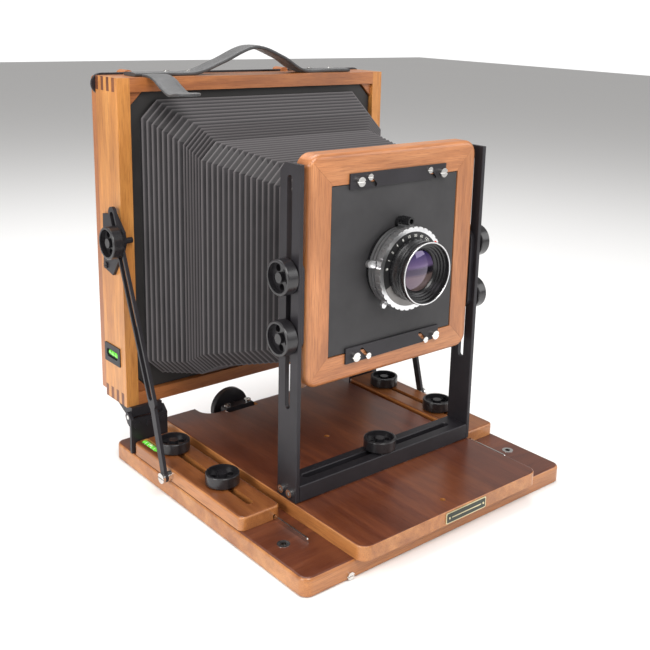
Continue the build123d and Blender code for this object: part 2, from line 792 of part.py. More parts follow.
bracket_out = strut_x - 0.2
with BuildPart() as strut_brackets:
    for side in (-1, 1):
        with BuildSketch(side_plane(side, frame_half)):
            with BuildLine():
                Polyline(
                    (149, 237), (126, 240), (112, 226), (110.5, 217), (113, 210), (133, 183), (150, 187),
                    close=True,
                )
            make_face()
        extrude(amount=side * (bracket_out - frame_half))
        with BuildSketch(side_plane(side, frame_half - 8, strut_bolt_y, strut_bolt_z)):
            Circle(2.6)
        extrude(amount=side * (8 + strut_x + strut_t - frame_half + 8.6))
        with BuildSketch(side_plane(side, bracket_out, 145, 190)):
            Circle(3)
        extrude(amount=side * 1.4)
        with BuildSketch(side_plane(side, bracket_out + 1.4, 145, 190)):
            Rectangle(7, 0.9)
        extrude(amount=-side * 0.8, mode=Mode.SUBTRACT)
save(strut_brackets, "strut_brackets")

with BuildPart() as frame_level:
    with BuildSketch(side_plane(-1, frame_half - 2, 144, 104.2)):
        RectangleRounded(29, 18, 1)
    extrude(amount=-3)
    with BuildSketch(side_plane(-1, frame_half + 1, 144, 104.2)):
        RectangleRounded(21, 8, 3)
    extrude(amount=1.4, mode=Mode.SUBTRACT)
save(frame_level, "frame_level")

handle_y = 139.0
handle_w = 22.0
strap_t = 3.2
with BuildPart() as carry_handle:
    with BuildSketch(front_plane(handle_y + handle_w / 2, 0, frame_high + gap)):
        with BuildLine():
            Line((-129, 0), (-64, 0))
            Spline((-64, 0), (-38, 9), (-2, 23), (30, 13), (54, 0), tangents=((1, 0), (1, 0)))
            Line((54, 0), (115, 0))
            Line((115, 0), (115, strap_t))
            Line((115, strap_t), (56, strap_t))
            Spline(
                (56, strap_t), (31.5, 13 + strap_t), (-2, 23 + strap_t),
                (-39.5, 9 + strap_t), (-66, strap_t),
                tangents=((-1, 0), (-1, 0)),
            )
            Line((-66, strap_t), (-129, strap_t))
            Line((-129, strap_t), (-129, 0))
        make_face()
    extrude(amount=handle_w)
save(carry_handle, "carry_handle")

tab_x = -112.0
tab_tip = 60.0
tab_droop = 12.0
tab_w = 23.0
tab_t = 2.4
tab_back = handle_y - handle_w / 2 - 0.3
with BuildPart() as closure_strap:
    tab_origin = (tab_x - tab_w / 2, 0, frame_high + gap)
    with BuildSketch(Plane(origin=tab_origin, x_dir=(0, 1, 0), z_dir=(1, 0, 0))):
        with BuildLine():
            Spline(
                (tab_back, 0), (118, 0), (98, -4), (tab_tip, -tab_droop),
                tangents=((-1, 0), (-1, -0.2)),
            )
            Line((tab_tip, -tab_droop), (tab_tip + 0.4, tab_t - tab_droop))
            Spline(
                (tab_tip + 0.4, tab_t - tab_droop), (98, -4 + tab_t), (118, tab_t), (tab_back, tab_t),
                tangents=((1, 0.2), (1, 0)),
            )
            Line((tab_back, tab_t), (tab_back, 0))
        make_face()
    extrude(amount=tab_w)
save(closure_strap, "closure_strap")

bellows_rear = (frame_back - 12, 130.0, 212.0, 129.0)
bellows_front = (panel_back + 0.3, 82.0, 212.0, 82.0)
bellows_wall = 5.0
with BuildPart() as bellows:
    for inset, mode in ((0.0, Mode.ADD), (bellows_wall, Mode.SUBTRACT)):
        for y, half_w, mid_z, half_h in (bellows_rear, bellows_front):
            with BuildSketch(Plane(origin=(0, y, mid_z), x_dir=(1, 0, 0), z_dir=(0, -1, 0))) as mouth:
                Rectangle(2 * (half_w - inset), 2 * (half_h - inset))
                chamfer(mouth.vertices(), length=14)
        loft(mode=mode)
save(bellows, "bellows")

back_half = 148.0
back_low = 61.0
back_high = 357.0
back_t = 14.0
glass_w = 250.0
glass_h = 200.0
with BuildPart() as back_frame:
    with BuildSketch(front_plane(frame_back + gap, 0, (back_low + back_high) / 2)):
        RectangleRounded(2 * back_half, back_high - back_low, 3)
        Rectangle(glass_w + 8, glass_h + 8, mode=Mode.SUBTRACT)
        with Locations((-119, 146.8), (54, 146.8)):
            SlotOverall(12, 10, rotation=90)
    extrude(amount=-back_t)
    with BuildSketch(front_plane(frame_back + gap + back_t, 0, (back_low + back_high) / 2)):
        Rectangle(glass_w + 16, glass_h + 16)
    extrude(amount=4.4, mode=Mode.SUBTRACT)
save(back_frame, "back_frame")

with BuildPart() as ground_glass:
    with BuildSketch(front_plane(frame_back + gap + back_t, 0, (back_low + back_high) / 2)):
        Rectangle(glass_w + 15, glass_h + 15)
    extrude(amount=4.3)
save(ground_glass, "ground_glass")

# ---- lock knobs -------------------------------------------------------------------------------
spokes = 5
rim_wall = 2.3
recess = 4.6            # depth of the web below the rim
hub_r = 4.2
hub_drop = 0.9          # how far the hub ends below the rim
stud_bore = 8.6


def knob(name, plane):
    """A round lock knob: a deep rim, a hub and a thin web with a ring of holes. The plane is its seat."""
    with BuildPart() as body:
        with BuildSketch(plane):
            Circle(knob_r)
        extrude(amount=knob_t)
        fillet(body.edges().filter_by(GeomType.CIRCLE), radius=1)
        with BuildSketch(plane.offset(knob_t)):
            Circle(knob_r - rim_wall)
        extrude(amount=-hub_drop, mode=Mode.SUBTRACT)
        with BuildSketch(plane.offset(knob_t - hub_drop)):
            Circle(knob_r - rim_wall)
            Circle(hub_r, mode=Mode.SUBTRACT)
        extrude(amount=hub_drop - recess, mode=Mode.SUBTRACT)
        with BuildSketch(plane.offset(knob_t - recess)):
            with PolarLocations(8, spokes):
                Circle(2.9)
        extrude(amount=recess - 8, mode=Mode.SUBTRACT)
        with BuildSketch(plane):
            Circle(bolt_r + run)
        extrude(amount=stud_bore, mode=Mode.SUBTRACT)
    save(body, name)


seat = 1.0
for side, hand in ((-1, "left"), (1, "right")):
    for y, place in zip(stud_y, ("front", "rear")):
        knob(f"{hand}_{place}_rail_knob", Plane(origin=(side * stud_x, y, block_top + seat)))
    for z, place in ((tilt_z, "tilt"), (rise_z, "rise")):
        knob(f"{hand}_{place}_knob", outward_plane(side, upright_out + seat, standard_y, z))
    knob(f"{hand}_strut_knob", outward_plane(side, strut_x + strut_t + 0.3, strut_bolt_y, strut_bolt_z))
knob("crossbar_knob", Plane(origin=(0, standard_y, bar_high + seat)))
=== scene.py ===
import math

import bmesh
import bpy
from mathutils import Matrix, Vector


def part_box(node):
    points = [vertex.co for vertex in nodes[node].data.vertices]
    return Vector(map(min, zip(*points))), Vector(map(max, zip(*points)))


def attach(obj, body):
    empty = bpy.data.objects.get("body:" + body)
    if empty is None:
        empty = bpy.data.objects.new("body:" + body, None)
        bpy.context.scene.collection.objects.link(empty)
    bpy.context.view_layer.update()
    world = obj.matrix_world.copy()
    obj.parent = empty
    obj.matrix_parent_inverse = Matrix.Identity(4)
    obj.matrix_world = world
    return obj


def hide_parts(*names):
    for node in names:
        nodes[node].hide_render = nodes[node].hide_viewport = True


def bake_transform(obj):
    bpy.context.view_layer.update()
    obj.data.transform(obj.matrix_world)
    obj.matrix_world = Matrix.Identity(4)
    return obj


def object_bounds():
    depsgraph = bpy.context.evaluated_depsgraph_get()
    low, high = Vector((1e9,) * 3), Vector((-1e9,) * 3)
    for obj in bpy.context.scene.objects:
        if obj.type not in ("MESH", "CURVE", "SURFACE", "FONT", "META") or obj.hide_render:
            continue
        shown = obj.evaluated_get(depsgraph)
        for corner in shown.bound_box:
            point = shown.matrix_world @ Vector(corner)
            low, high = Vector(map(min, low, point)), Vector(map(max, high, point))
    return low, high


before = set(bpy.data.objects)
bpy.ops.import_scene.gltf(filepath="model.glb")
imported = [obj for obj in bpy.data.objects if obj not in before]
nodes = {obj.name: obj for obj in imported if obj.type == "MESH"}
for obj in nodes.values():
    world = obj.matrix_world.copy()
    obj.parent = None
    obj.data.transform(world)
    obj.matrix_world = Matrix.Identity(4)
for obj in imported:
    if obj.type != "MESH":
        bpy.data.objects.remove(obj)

MM = 0.001
cad_low, cad_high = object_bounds()


# ---- camera, light and floor ------------------------------------------------------------------
camera_place = Vector((-0.53093, -0.62723, 0.41988))
camera_right = Vector((0.75353, -0.65673, 0.03005))
camera_up = Vector((0.13825, 0.20298, 0.96937))
camera_back = Vector((-0.64272, -0.72629, 0.24374))
camera_data = bpy.data.cameras.new("camera")
camera_data.lens = 52.7
camera_data.sensor_width = 36.0
camera_data.shift_x = -0.0558
camera_data.shift_y = -0.1163
camera_data.clip_start = 0.01
camera = bpy.data.objects.new("camera", camera_data)
bpy.context.collection.objects.link(camera)
turn = Matrix((camera_right, camera_up, camera_back)).transposed()
camera.matrix_world = Matrix.Translation(camera_place) @ turn.to_4x4()
bpy.context.scene.camera = camera


def soft_light(name, place, aim, size, power, colour=(1.0, 1.0, 1.0)):
    """A square softbox that faces a point."""
    data = bpy.data.lights.new(name, "AREA")
    data.shape = "SQUARE"
    data.size = size
    data.energy = power
    data.color = colour
    lamp = bpy.data.objects.new(name, data)
    lamp.location = place
    lamp.rotation_euler = (Vector(aim) - Vector(place)).to_track_quat("-Z", "Y").to_euler()
    bpy.context.collection.objects.link(lamp)


middle = (0.0, 0.0, 0.16)
soft_light("key_light", (-0.35, -0.95, 1.25), middle, 0.8, 17.0, (1.0, 0.985, 0.96))
soft_light("side_light", (-1.5, -0.1, 0.7), middle, 0.8, 17.0, (1.0, 0.99, 0.97))
soft_light("fill_light", (1.1, -1.0, 0.75), middle, 0.9, 7.0)
soft_light("top_light", (0.1, 0.5, 1.5), middle, 1.1, 16.0)

world = bpy.data.worlds.new("studio")
bpy.context.scene.world = world
world.use_nodes = True
studio = world.node_tree
backdrop = studio.nodes["Background"]
backdrop.inputs["Color"].default_value = (1.0, 1.0, 1.0, 1.0)
backdrop.inputs["Strength"].default_value = 1.1
room = studio.nodes.new("ShaderNodeBackground")
room.inputs["Color"].default_value = (1.0, 0.985, 0.97, 1.0)
room.inputs["Strength"].default_value = 0.42
seen = studio.nodes.new("ShaderNodeLightPath")
either = studio.nodes.new("ShaderNodeMixShader")
studio.links.new(seen.outputs["Is Camera Ray"], either.inputs[0])
studio.links.new(room.outputs[0], either.inputs[1])
studio.links.new(backdrop.outputs[0], either.inputs[2])
studio.links.new(either.outputs[0], studio.nodes["World Output"].inputs["Surface"])
bpy.context.scene.view_settings.view_transform = "Standard"


# ---- node helpers -----------------------------------------------------------------------------
def new_material(name):
    """A material with its tree and Principled node."""
    made = bpy.data.materials.new(name)
    made.use_nodes = True
    tree = made.node_tree
    return made, tree, tree.nodes["Principled BSDF"]


def coordinates(tree, stretch=(1.0, 1.0, 1.0), shift=(0.0, 0.0, 0.0)):
    """Object coordinates, stretched and shifted."""
    coord = tree.nodes.new("ShaderNodeTexCoord")
    mapping = tree.nodes.new("ShaderNodeMapping")
    mapping.inputs["Scale"].default_value = stretch
    mapping.inputs["Location"].default_value = shift
    tree.links.new(coord.outputs["Object"], mapping.inputs["Vector"])
    return mapping.outputs["Vector"]


def noise(tree, vector, scale, detail=4.0, roughness=0.55, distortion=0.0):
    """A noise value at a vector."""
    made = tree.nodes.new("ShaderNodeTexNoise")
    made.inputs["Scale"].default_value = scale
    made.inputs["Detail"].default_value = detail
    made.inputs["Roughness"].default_value = roughness
    made.inputs["Distortion"].default_value = distortion
    tree.links.new(vector, made.inputs["Vector"])
    return made.outputs["Fac"]


def ramp(tree, value, stops):
    """A colour ramp; stops are (position, colour)."""
    made = tree.nodes.new("ShaderNodeValToRGB")
    while len(made.color_ramp.elements) < len(stops):
        made.color_ramp.elements.new(0.5)
    for element, (position, colour) in zip(made.color_ramp.elements, stops):
        element.position = position
        element.color = (*colour, 1.0)
    tree.links.new(value, made.inputs["Fac"])
    return made.outputs["Color"]


def spread(tree, value, low, high, from_low=0.0, from_high=1.0):
    """A value remapped to run from low to high."""
    made = tree.nodes.new("ShaderNodeMapRange")
    made.inputs["From Min"].default_value = from_low
    made.inputs["From Max"].default_value = from_high
    made.inputs["To Min"].default_value = low
    made.inputs["To Max"].default_value = high
    tree.links.new(value, made.inputs["Value"])
    return made.outputs["Result"]


def blend_colour(tree, share, first, second, mode="MIX"):
    """A mix of two colours; each is a socket or a constant."""
    made = tree.nodes.new("ShaderNodeMix")
    made.data_type = "RGBA"
    made.blend_type = mode
    for socket, source in ((0, share), (6, first), (7, second)):
        if isinstance(source, (int, float)):
            made.inputs[socket].default_value = source
        elif isinstance(source, tuple):
            made.inputs[socket].default_value = (*source, 1.0)
        else:
            tree.links.new(source, made.inputs[socket])
    return made.outputs[2]


def relief(tree, shader, height, strength, distance):
    """Bumps a shader's surface by a height value."""
    made = tree.nodes.new("ShaderNodeBump")
    made.inputs["Strength"].default_value = strength
    made.inputs["Distance"].default_value = distance
    tree.links.new(height, made.inputs["Height"])
    tree.links.new(made.outputs["Normal"], shader.inputs["Normal"])


# ---- materials --------------------------------------------------------------------------------
def wood(name, tones, grain, shift=(0.0, 0.0, 0.0), rough=0.36, coat=0.25, figure=1.0):
    """Oiled wood with its grain along one axis: growth bands, fine pores and slow colour changes."""
    made, tree, shader = new_material(name)
    along = {"x": (0.09, 1.0, 1.0), "y": (1.0, 0.09, 1.0), "z": (1.0, 1.0, 0.09)}[grain]
    fine = {"x": (0.035, 1.0, 1.0), "y": (1.0, 0.035, 1.0), "z": (1.0, 1.0, 0.035)}[grain]
    slow = noise(tree, coordinates(tree, along, shift), 26.0 * figure, 5.0, 0.6, 1.6)
    bands = noise(tree, coordinates(tree, along, shift), 120.0, 4.0, 0.6, 0.7)
    pores = noise(tree, coordinates(tree, fine, shift), 1500.0, 3.0, 0.7)
    cloud = noise(tree, coordinates(tree, (1.0, 1.0, 1.0), shift), 14.0, 3.0, 0.5)
    base = ramp(tree, slow, [(0.28, tones[0]), (0.5, tones[1]), (0.72, tones[2])])
    lines = ramp(tree, bands, [(0.3, (0.62, 0.55, 0.5)), (0.62, (1.0, 1.0, 1.0))])
    base = blend_colour(tree, 0.55, base, lines, "MULTIPLY")
    specks = ramp(tree, pores, [(0.36, (0.42, 0.34, 0.3)), (0.52, (1.0, 1.0, 1.0))])
    base = blend_colour(tree, 0.5, base, specks, "MULTIPLY")
    patches = ramp(tree, cloud, [(0.3, (0.8, 0.76, 0.74)), (0.7, (1.12, 1.06, 1.0))])
    base = blend_colour(tree, 0.7, base, patches, "MULTIPLY")
    tree.links.new(base, shader.inputs["Base Color"])
    tree.links.new(spread(tree, bands, rough - 0.07, rough + 0.1), shader.inputs["Roughness"])
    shader.inputs["Coat Weight"].default_value = coat
    shader.inputs["Coat Roughness"].default_value = 0.22
    relief(tree, shader, pores, 0.22, 0.00025)
    return made


def metal(name, colour, rough, metallic=1.0, grain=700.0, wear=0.08, bump=0.06, coat=0.0):
    """Machined or anodised metal with a fine grain and slightly uneven gloss."""
    made, tree, shader = new_material(name)
    small = noise(tree, coordinates(tree), grain, 3.0, 0.6)
    large = noise(tree, coordinates(tree), 35.0, 4.0, 0.6)
    darker = tuple(c * 0.8 for c in colour)
    lighter = tuple(min(1.0, c * 1.18) for c in colour)
    tone = ramp(tree, large, [(0.3, darker), (0.7, lighter)])
    tree.links.new(tone, shader.inputs["Base Color"])
    tree.links.new(spread(tree, small, rough - wear, rough + wear), shader.inputs["Roughness"])
    shader.inputs["Metallic"].default_value = metallic
    shader.inputs["Coat Weight"].default_value = coat
    relief(tree, shader, small, bump, 0.0001)
    return made


def leather(name, colour, edge, rough=0.5):
    """Dark strap leather: small creased cells, rubbed highs and a soft sheen."""
    made, tree, shader = new_material(name)
    cells = tree.nodes.new("ShaderNodeTexVoronoi")
    cells.inputs["Scale"].default_value = 900.0
    tree.links.new(coordinates(tree), cells.inputs["Vector"])
    folds = noise(tree, coordinates(tree), 240.0, 5.0, 0.65)
    rub = noise(tree, coordinates(tree), 45.0, 4.0, 0.6)
    tone = ramp(tree, rub, [(0.3, colour), (0.72, edge)])
    creases = ramp(tree, folds, [(0.35, (0.6, 0.6, 0.6)), (0.6, (1.0, 1.0, 1.0))])
    tree.links.new(blend_colour(tree, 0.6, tone, creases, "MULTIPLY"), shader.inputs["Base Color"])
    tree.links.new(spread(tree, folds, rough - 0.1, rough + 0.14), shader.inputs["Roughness"])
    shader.inputs["Sheen Weight"].default_value = 0.15
    height = tree.nodes.new("ShaderNodeMath")
    height.operation = "ADD"
    tree.links.new(cells.outputs["Distance"], height.inputs[0])
    tree.links.new(folds, height.inputs[1])
    relief(tree, shader, height.outputs[0], 0.35, 0.0003)
    return made


def cloth(name, colour, lift, scale=1900.0, crest=None):
    """Rubberised bellows cloth: a fine crossed weave under a thin dull coating, with a painted highlight
    colour blended in along the outward creases when crest is given.
    """
    made, tree, shader = new_material(name)
    weave = None
    for stretch in ((1.0, 0.0, 0.25), (0.0, 1.0, 0.25), (0.0, 0.15, 1.0)):
        wave = tree.nodes.new("ShaderNodeTexWave")
        wave.inputs["Scale"].default_value = scale / 6.0
        wave.inputs["Distortion"].default_value = 0.3
        wave.bands_direction = "DIAGONAL"
        tree.links.new(coordinates(tree, stretch), wave.inputs["Vector"])
        if weave is None:
            weave = wave.outputs["Fac"]
        else:
            both = tree.nodes.new("ShaderNodeMath")
            both.operation = "MULTIPLY"
            tree.links.new(weave, both.inputs[0])
            tree.links.new(wave.outputs["Fac"], both.inputs[1])
            weave = both.outputs[0]
    dust = noise(tree, coordinates(tree), 60.0, 5.0, 0.6)
    tone = ramp(tree, dust, [(0.3, colour), (0.75, lift)])
    # painted highlight: the crest colour lightens the outward creases where light catches the folds
    if crest:
        crest_highlight_share = tree.nodes.new("ShaderNodeAttribute")
        crest_highlight_share.attribute_name = "crest"
        edge = spread(tree, crest_highlight_share.outputs["Fac"], 0.0, 1.0, 0.72, 1.0)
        tone = blend_colour(tree, edge, tone, crest)
    tree.links.new(tone, shader.inputs["Base Color"])
    tree.links.new(spread(tree, dust, 0.5, 0.72), shader.inputs["Roughness"])
    shader.inputs["Sheen Weight"].default_value = 0.12
    shader.inputs["Sheen Roughness"].default_value = 0.5
    relief(tree, shader, weave, 0.2, 0.00012)
    return made


orange = ((0.27, 0.085, 0.025), (0.40, 0.145, 0.042), (0.52, 0.215, 0.07))
golden = ((0.42, 0.16, 0.035), (0.58, 0.255, 0.062), (0.70, 0.35, 0.10))
panel_tones = ((0.34, 0.125, 0.045), (0.48, 0.195, 0.072), (0.60, 0.275, 0.115))
reddish = ((0.065, 0.017, 0.009), (0.125, 0.034, 0.015), (0.21, 0.065, 0.024))

wood_sides = wood("frame_side_wood", golden, "z", (0.3, 0.0, 0.1))
wood_rails = wood("frame_rail_wood", orange, "x", (0.0, 0.7, 0.2))
wood_panel_rails = wood("panel_rail_wood", panel_tones, "x", (0.1, 0.4, 0.0))
wood_panel_stiles = wood("panel_stile_wood", panel_tones, "z", (0.5, 0.1, 0.3))
wood_back = wood("back_wood", orange, "z", (0.9, 0.2, 0.0))
wood_bed = wood("bed_wood", reddish, "y", (0.2, 0.3, 0.6), 0.3, 0.4, 0.8)
wood_base = wood("base_wood", reddish, "x", (0.6, 0.8, 0.1), 0.32, 0.35, 0.8)
block_tones = ((0.13, 0.04, 0.014), (0.23, 0.078, 0.025), (0.33, 0.13, 0.04))
wood_block = wood("block_wood", block_tones, "y", (0.4, 0.1, 0.4), 0.32, 0.35)

black_metal = metal("black_anodised_metal", (0.022, 0.020, 0.024), 0.42, 0.35, 1400.0, 0.07, 0.05)
black_board = metal("black_board_paint", (0.03, 0.029, 0.031), 0.62, 0.0, 900.0, 0.06, 0.12)
black_knob = metal("black_knob_plastic", (0.014, 0.013, 0.015), 0.3, 0.0, 800.0, 0.08, 0.05, 0.15)
black_lens = metal("black_lens_enamel", (0.008, 0.008, 0.009), 0.26, 0.1, 900.0, 0.06, 0.03)
bright_steel = metal("bright_steel", (0.72, 0.71, 0.69), 0.2, 1.0, 500.0, 0.08, 0.05)
pale_alloy = metal("pale_alloy", (0.74, 0.74, 0.75), 0.3, 1.0, 600.0, 0.08, 0.05)
yellow_brass = metal("yellow_brass", (0.72, 0.47, 0.17), 0.3, 1.0, 500.0, 0.08, 0.05)
strap_leather = leather("strap_leather", (0.022, 0.023, 0.025), (0.055, 0.055, 0.058), 0.46)
# the last colour is the painted highlight along the bellows' outward creases
bellows_cloth = cloth("bellows_cloth", (0.010, 0.0085, 0.010), (0.020, 0.0172, 0.020), 1900.0,
                      (0.115, 0.105, 0.11))
frame_cloth = cloth("bellows_frame_paint", (0.008, 0.007, 0.007), (0.014, 0.012, 0.012), 900.0)


def paint(material, *names):
    """Gives CAD nodes a material."""
    for name in names:
        data = nodes[name].data
        data.materials.clear()
        data.materials.append(material)


hands = ("left", "right")
paint(wood_base, "base_board")
paint(wood_bed, "focusing_board")
paint(wood_block, "left_block", "right_block")
paint(wood_sides, "frame_sides")
paint(wood_rails, "frame_rails")
paint(wood_back, "back_frame")
paint(black_metal, "crossbar", "left_upright", "right_upright", "carriage_plates", "screw_bearing")
paint(black_metal, "left_strut", "right_strut", "strut_brackets", "hinge_plates", "hinge_leaves")
paint(black_metal, "top_slider", "bottom_slider")
paint(black_metal, "frame_level", "focus_wheel")
paint(black_board, "lens_board")
paint(black_lens, "shutter_body", "rear_barrel", "front_barrel")
paint(black_knob, "crossbar_knob")
for hand in hands:
    for place in ("front_rail", "rear_rail", "tilt", "rise", "strut"):
        paint(black_knob, f"{hand}_{place}_knob")
paint(bright_steel, "guide_strips", "base_fasteners", "rail_studs", "lead_screw", "standard_stud")
paint(bright_steel, "foot_screws", "tilt_bolts", "slider_screws", "strut_pivots", "hinge_pins")
paint(yellow_brass, "tripod_bushing", "lead_nut")
paint(pale_alloy, "swing_plate", "speed_ring", "cocking_lever", "aperture_lever", "release_lever")


def top_and_edge(name, top, edge):
    """A board whose upper face is darker than its edges."""
    data = nodes[name].data
    data.materials.clear()
    data.materials.append(edge)
    data.materials.append(top)
    for face in data.polygons:
        face.material_index = 1 if face.normal.z > 0.8 else 0


edge_tones = ((0.30, 0.105, 0.03), (0.45, 0.185, 0.055), (0.58, 0.28, 0.10))
base_edge_wood = wood("base_edge_wood", edge_tones, "x", (0.2, 0.9, 0.4), 0.34, 0.3)
bed_edge_wood = wood("bed_edge_wood", edge_tones, "y", (0.7, 0.1, 0.9), 0.34, 0.3)
top_and_edge("base_board", wood_base, base_edge_wood)
top_and_edge("focusing_board", wood_bed, bed_edge_wood)
top_and_edge("left_block", wood_block, bed_edge_wood)
top_and_edge("right_block", wood_block, bed_edge_wood)

# the ends of the rails' fingers show end grain
finger_end_x = 0.1495
finger_tones = ((0.10, 0.03, 0.012), (0.17, 0.055, 0.02), (0.25, 0.09, 0.03))
end_grain = wood("finger_end_grain", finger_tones, "x", (0.4, 0.6, 0.2), 0.45, 0.1)
rails = nodes["frame_rails"].data
rails.materials.append(end_grain)
for face in rails.polygons:
    face.material_index = 1 if abs(face.normal.x) > 0.9 and abs(face.center.x) > finger_end_x else 0

# the sliders' fronts are bright
slider_front_y = -0.07215
for slider in ("top_slider", "bottom_slider"):
    plate = nodes[slider].data
    plate.materials.append(bright_steel)
    for face in plate.polygons:
        face.material_index = 1 if face.center.y < slider_front_y else 0


def two_grain(name, upright, across):
    """A mitred frame: its stiles take one material and its rails the other."""
    data = nodes[name].data
    data.materials.clear()
    data.materials.append(upright)
    data.materials.append(across)
    low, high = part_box(name)
    mid = (Vector(low) + Vector(high)) / 2
    for face in data.polygons:
        c = face.center - mid
        face.material_index = 0 if abs(c.x) > abs(c.z) else 1


two_grain("lens_panel", wood_panel_stiles, wood_panel_rails)


# ---- mesh helpers -----------------------------------------------------------------------------
def mesh_piece(name, verts, faces, material, body=None, smooth=False):
    """A mesh object made of given points and faces."""
    data = bpy.data.meshes.new(name)
    data.from_pydata([tuple(v) for v in verts], [], faces)
    data.update()
    made = bpy.data.objects.new(name, data)
    bpy.context.collection.objects.link(made)
    data.materials.append(material)
    for face in data.polygons:
        face.use_smooth = smooth
    if body:
        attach(made, body)
    return made


def lathe(name, profile, place, material, body, steps=72, axis="y"):
    """A turned piece: profile is (radius, distance along the axis) in millimetres."""
    verts = []
    faces = []
    for radius, along in profile:
        for i in range(steps):
            a = 2 * math.pi * i / steps
            u, v = radius * math.cos(a) * MM, radius * math.sin(a) * MM
            w = along * MM
            offset = {"y": (u, w, v), "z": (u, v, w), "x": (w, u, v)}[axis]
            verts.append(Vector(place) + Vector(offset))
    for ring in range(len(profile) - 1):
        for i in range(steps):
            j = (i + 1) % steps
            faces.append((ring * steps + i, ring * steps + j, (ring + 1) * steps + j, (ring + 1) * steps + i))
    made = mesh_piece(name, verts, faces, material, body, True)
    tidy_normals(made)
    return made


def tidy_normals(made, sharp=0.6):
    """Welds close points, points all faces outwards and keeps edges over the angle sharp."""
    bm = bmesh.new()
    bm.from_mesh(made.data)
    bmesh.ops.remove_doubles(bm, verts=bm.verts, dist=1e-6)
    bmesh.ops.recalc_face_normals(bm, faces=bm.faces)
    for edge in bm.edges:
        edge.smooth = len(edge.link_faces) == 2 and edge.calc_face_angle(0.0) < sharp
    bm.to_mesh(made.data)
    bm.free()


# ---- bellows ----------------------------------------------------------------------------------
# (y, half width, top, bottom) in millimetres, from the rear frame to the lens panel
bellows_shape = [
    (147.8, 130.0, 341.0, 83.0),
    (127.0, 130.0, 341.0, 83.0),
    (77.0, 113.5, 320.0, 93.0),
    (66.0, 103.0, 307.0, 101.0),
    (-19.0, 84.5, 296.0, 127.5),
    (-52.6, 82.0, 294.0, 130.0),
]
# where each run of folds ends, with its fold pitch
fold_runs = [(147.8, 127.0, 6.9), (127.0, 77.0, 5.55), (77.0, 66.0, 1.85), (66.0, -52.6, 6.25)]


def bellows_at(y):
    """Half width, top and bottom of the bellows at a distance along it."""
    for (y0, *a), (y1, *b) in zip(bellows_shape, bellows_shape[1:]):
        if y >= y1 or y1 == bellows_shape[-1][0]:
            t = (y - y0) / (y1 - y0)
            return [p + (q - p) * t for p, q in zip(a, b)]


def fold_ring(y, out, chamfer, depth):
    """One crease of the bellows: eight corners; the flats stand out where the corner cuts stand in."""
    half, top, low = bellows_at(y)
    flat = 0.0 if out else -depth
    cut = chamfer + (2.5 if out else -4.0)
    x = half + flat
    z1 = top + flat
    z0 = low - flat
    points = [(-x, z0 + cut), (-x, z1 - cut), (-x + cut, z1), (x - cut, z1)]
    points += [(x, z1 - cut), (x, z0 + cut), (x - cut, z0), (-x + cut, z0)]
    return [Vector((px * MM, y * MM, pz * MM)) for px, pz in points]


corner_cut = 13.0
rear_fold_depth = 6.5
front_fold_depth = 6.0
fold_depth_change = 60.0    # the distance where the folds' depth changes


def fold_depth(y):
    """How far the inner creases stand behind the outer ones."""
    return rear_fold_depth if y > fold_depth_change else front_fold_depth


creases = []                # (distance, whether the crease points outwards)
for start, end, pitch in fold_runs:
    count = max(1, round((start - end) / pitch))
    step = (start - end) / count
    for k in range(count):
        creases.append((start - k * step, True))
        creases.append((start - (k + 0.5) * step, False))
creases.append((bellows_shape[-1][0], True))


def bellows_rings(first, last):
    """The creases between two distances, with one cut at each end on the straight fold between creases."""
    rings = []
    for (y0, out0), (y1, out1) in zip(creases, creases[1:]):
        a = fold_ring(y0, out0, corner_cut, fold_depth(y0))
        b = fold_ring(y1, out1, corner_cut, fold_depth(y1))
        # outward creases take a painted highlight share of 1 and inward ones 0; cuts between them take a
        # blend
        if y0 <= first + 1e-9 and y0 >= last - 1e-9:
            rings.append((y0, a, 1.0 if out0 else 0.0))
        for cut in (first, last):
            if y1 + 1e-9 < cut < y0 - 1e-9:
                t = (y0 - cut) / (y0 - y1)
                crest_highlight_share = (1.0 - t) * out0 + t * out1
                rings.append((cut, [p.lerp(q, t) for p, q in zip(a, b)], crest_highlight_share))
    y, out = creases[-1]
    if last <= y + 1e-9:
        rings.append((y, fold_ring(y, out, corner_cut, fold_depth(y)), 1.0))
    rings.sort(key=lambda r: -r[0])
    return rings


across_points = 10


def bellows_piece(name, first, last):
    """One stretch of the bellows between two distances along it."""
    rings = bellows_rings(first, last)
    verts = []
    faces = []
    loops = []
    crest = []
    for _, corners, crest_highlight_share in rings:
        loop = []
        for i, p in enumerate(corners):
            q = corners[(i + 1) % 8]
            parts = across_points if i % 2 == 0 else 2
            for k in range(parts):
                loop.append(len(verts))
                verts.append(p.lerp(q, k / parts))
                crest.append(crest_highlight_share)
        loops.append(loop)
    for a, b in zip(loops, loops[1:]):
        n = len(a)
        for i in range(n):
            faces.append((a[i], a[(i + 1) % n], b[(i + 1) % n], b[i]))
    made = mesh_piece(name, verts, faces, bellows_cloth)
    # the crest attribute holds the painted highlight share: 1 on outward creases, 0 on inward ones
    crest_highlight_attribute = made.data.attributes.new("crest", "FLOAT", "POINT")
    crest_highlight_attribute.data.foreach_set("value", crest)
    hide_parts("bellows")
    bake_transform(made)
    return made


bellows_chain = [
    ("bellows_rear_tilt", 147.8, 75.0, "rear_frame", "rear_carriage"),
    ("bellows_rear_travel", 75.0, 62.0, "rear_carriage", "base"),
    ("bellows_focus", 62.0, 24.0, "base", "focusing_bed"),
    ("bellows_swing", 24.0, 4.0, "focusing_bed", "swing_plate"),
    ("bellows_shift", 4.0, -9.0, "swing_plate", "front_standard"),
    ("bellows_rise", -9.0, -34.0, "front_standard", "rise_carriage"),
    ("bellows_front_tilt", -34.0, -52.6, "rise_carriage", "lens_panel"),
]
for name, first, last, body_a, body_b in bellows_chain:
    bellows_piece(name, first, last)

# black mounting frame of the bellows, just inside the rear frame's opening


